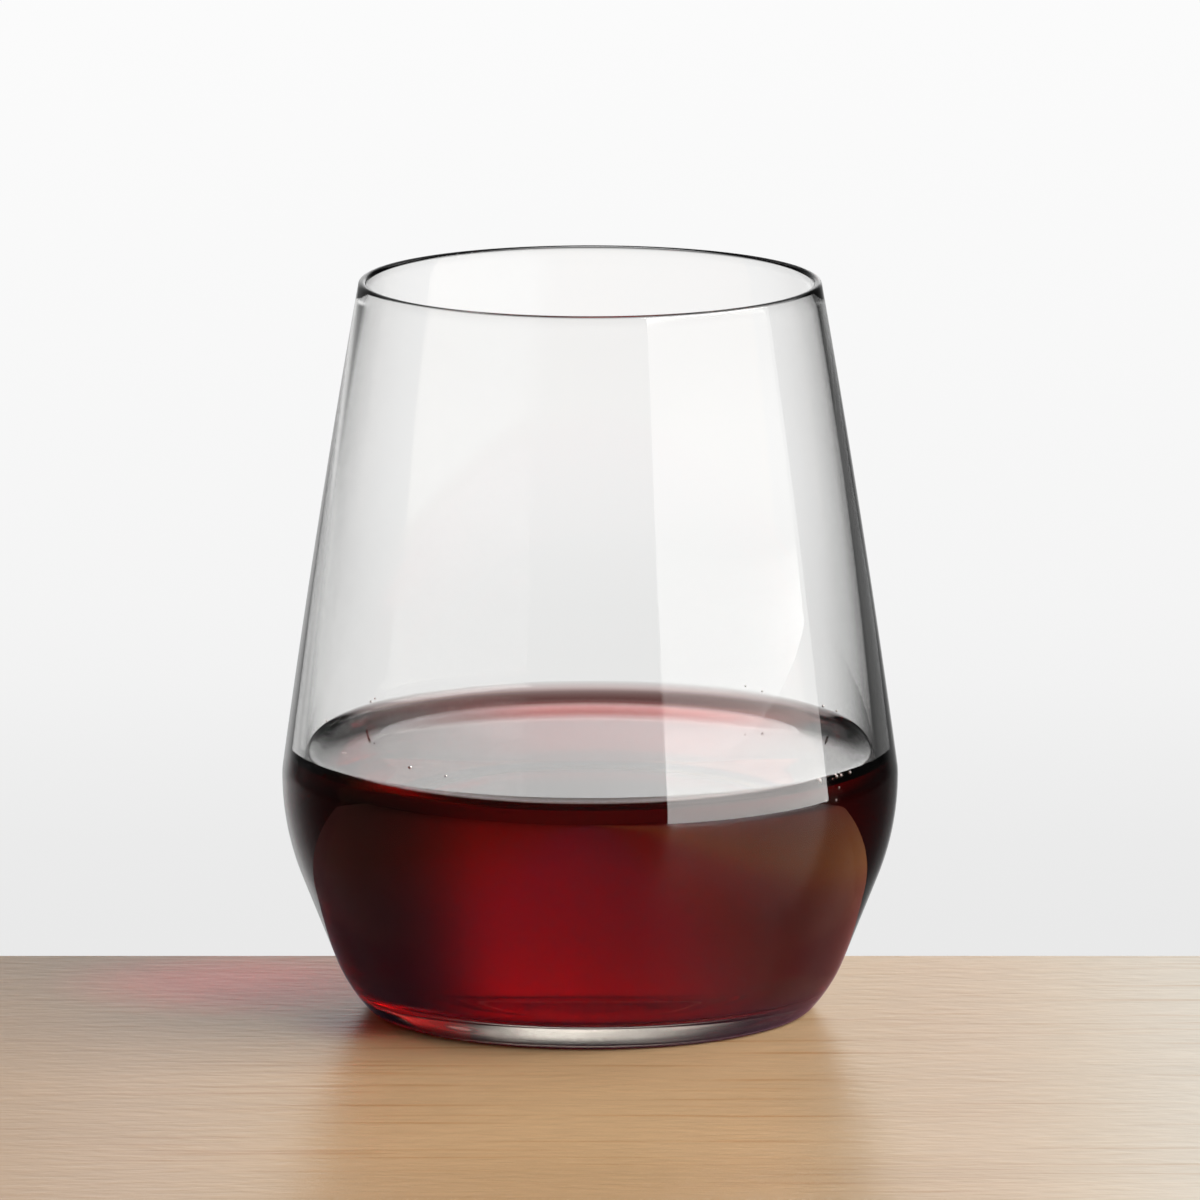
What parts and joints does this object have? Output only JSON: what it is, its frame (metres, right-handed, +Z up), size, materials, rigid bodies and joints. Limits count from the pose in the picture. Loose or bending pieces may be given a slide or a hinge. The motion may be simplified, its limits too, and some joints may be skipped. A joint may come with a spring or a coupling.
{
  "type": "stemless wine glass",
  "caption": "Clear stemless wine glass with a wide rounded bowl that narrows to the mouth, a thick flat base and a pour of red wine.",
  "frame": {"origin": "centre of the foot ring, on the table that the glass stands on", "axes": "+Z up the axis that the glass is round about, from the table to the mouth"},
  "size_m": [0.09, 0.09, 0.1075],
  "materials": {
    "clear_glass": "clear soda-lime glass, fire-polished rim",
    "red_wine": "still red wine, smooth liquid surface"
  },
  "bodies": {
    "root": {"glass": "clear_glass", "wine": "red_wine"}
  },
  "joints": []
}
